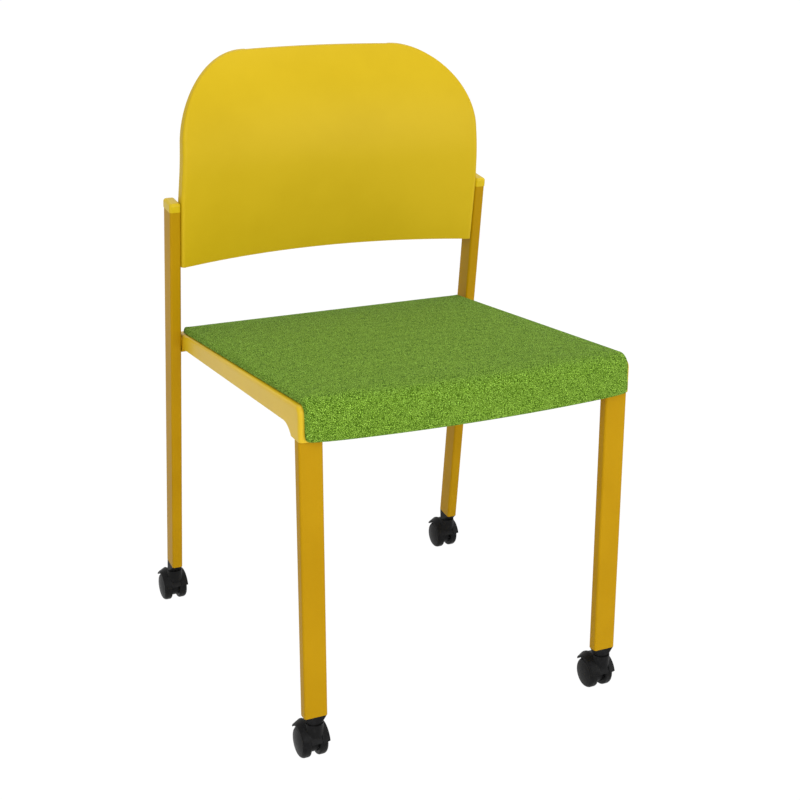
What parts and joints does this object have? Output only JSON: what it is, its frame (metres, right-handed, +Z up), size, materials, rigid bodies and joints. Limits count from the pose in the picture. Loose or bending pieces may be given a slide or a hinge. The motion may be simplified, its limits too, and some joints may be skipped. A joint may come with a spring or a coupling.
{
  "type": "nesting chair",
  "caption": "Armless nesting chair: rectangular steel tube frame, upholstered seat pad on a moulded shell, bowed one-piece back, twin-wheel castors under the legs.",
  "frame": {"origin": "on the floor under the middle of the chair's overall width and depth", "axes": "+Z up, the chair faces -Y, and X runs across it from its right hand side to its left as one sits, with the chair symmetric about X = 0"},
  "size_m": [0.4918, 0.567, 0.8079],
  "materials": {
    "frame_paint": "satin powder coat, golden yellow",
    "panel_plastic": "smooth moulded plastic, yellow",
    "shell_plastic": "smooth moulded plastic, yellow",
    "cap_plastic": "smooth moulded plastic, yellow",
    "pad_fabric": "crepe weave upholstery, green with dark flecks",
    "foam": "open-cell seat foam",
    "castor_plastic": "black moulded nylon, satin",
    "wheel_plastic": "black nylon wheel, satin",
    "zinc_steel": "bright zinc plated steel"
  },
  "bodies": {
    "root": {"front_leg_left": "frame_paint", "front_leg_right": "frame_paint", "rear_upright_left": "frame_paint", "rear_upright_right": "frame_paint", "seat_rail_left": "frame_paint", "seat_rail_right": "frame_paint", "front_crossbar": "frame_paint", "rear_crossbar": "frame_paint", "upright_cap_left": "cap_plastic", "upright_cap_right": "cap_plastic", "back_panel": "panel_plastic", "back_screws": "zinc_steel", "seat_shell": "shell_plastic", "seat_screws": "zinc_steel", "seat_foam": "foam", "seat_cover": "pad_fabric", "castor_plug_front_left": "castor_plastic", "castor_plug_front_right": "castor_plastic", "castor_plug_rear_left": "castor_plastic", "castor_plug_rear_right": "castor_plastic"},
    "castor_front_left": {"castor_hood_front_left": "castor_plastic", "castor_stem_front_left": "zinc_steel", "castor_axle_front_left": "zinc_steel"},
    "wheel_front_left_left": {"castor_wheel_front_left_left": "wheel_plastic"},
    "wheel_front_left_right": {"castor_wheel_front_left_right": "wheel_plastic"},
    "castor_front_right": {"castor_hood_front_right": "castor_plastic", "castor_stem_front_right": "zinc_steel", "castor_axle_front_right": "zinc_steel"},
    "wheel_front_right_left": {"castor_wheel_front_right_left": "wheel_plastic"},
    "wheel_front_right_right": {"castor_wheel_front_right_right": "wheel_plastic"},
    "castor_rear_left": {"castor_hood_rear_left": "castor_plastic", "castor_stem_rear_left": "zinc_steel", "castor_axle_rear_left": "zinc_steel"},
    "wheel_rear_left_left": {"castor_wheel_rear_left_left": "wheel_plastic"},
    "wheel_rear_left_right": {"castor_wheel_rear_left_right": "wheel_plastic"},
    "castor_rear_right": {"castor_hood_rear_right": "castor_plastic", "castor_stem_rear_right": "zinc_steel", "castor_axle_rear_right": "zinc_steel"},
    "wheel_rear_right_left": {"castor_wheel_rear_right_left": "wheel_plastic"},
    "wheel_rear_right_right": {"castor_wheel_rear_right_right": "wheel_plastic"}
  },
  "joints": [
    {"name": "swivel_front_left", "type": "hinge", "parent": "root", "child": "castor_front_left", "pos_m": [-0.204, -0.24583, 0.0519], "axis": [0, 0, 1], "continuous": true},
    {"name": "roll_front_left_left", "type": "hinge", "parent": "castor_front_left", "child": "wheel_front_left_left", "pos_m": [-0.2093, -0.23183, 0.02], "axis": [1, 0, 0], "continuous": true},
    {"name": "roll_front_left_right", "type": "hinge", "parent": "castor_front_left", "child": "wheel_front_left_right", "pos_m": [-0.1987, -0.23183, 0.02], "axis": [1, 0, 0], "continuous": true},
    {"name": "swivel_front_right", "type": "hinge", "parent": "root", "child": "castor_front_right", "pos_m": [0.204, -0.24583, 0.0519], "axis": [0, 0, 1], "continuous": true},
    {"name": "roll_front_right_left", "type": "hinge", "parent": "castor_front_right", "child": "wheel_front_right_left", "pos_m": [0.1987, -0.23183, 0.02], "axis": [1, 0, 0], "continuous": true},
    {"name": "roll_front_right_right", "type": "hinge", "parent": "castor_front_right", "child": "wheel_front_right_right", "pos_m": [0.2093, -0.23183, 0.02], "axis": [1, 0, 0], "continuous": true},
    {"name": "swivel_rear_left", "type": "hinge", "parent": "root", "child": "castor_rear_left", "pos_m": [-0.2271, 0.24953, 0.0519], "axis": [0, 0, 1], "continuous": true},
    {"name": "roll_rear_left_left", "type": "hinge", "parent": "castor_rear_left", "child": "wheel_rear_left_left", "pos_m": [-0.2324, 0.26353, 0.02], "axis": [1, 0, 0], "continuous": true},
    {"name": "roll_rear_left_right", "type": "hinge", "parent": "castor_rear_left", "child": "wheel_rear_left_right", "pos_m": [-0.2218, 0.26353, 0.02], "axis": [1, 0, 0], "continuous": true},
    {"name": "swivel_rear_right", "type": "hinge", "parent": "root", "child": "castor_rear_right", "pos_m": [0.2271, 0.24953, 0.0519], "axis": [0, 0, 1], "continuous": true},
    {"name": "roll_rear_right_left", "type": "hinge", "parent": "castor_rear_right", "child": "wheel_rear_right_left", "pos_m": [0.2218, 0.26353, 0.02], "axis": [1, 0, 0], "continuous": true},
    {"name": "roll_rear_right_right", "type": "hinge", "parent": "castor_rear_right", "child": "wheel_rear_right_right", "pos_m": [0.2324, 0.26353, 0.02], "axis": [1, 0, 0], "continuous": true}
  ]
}
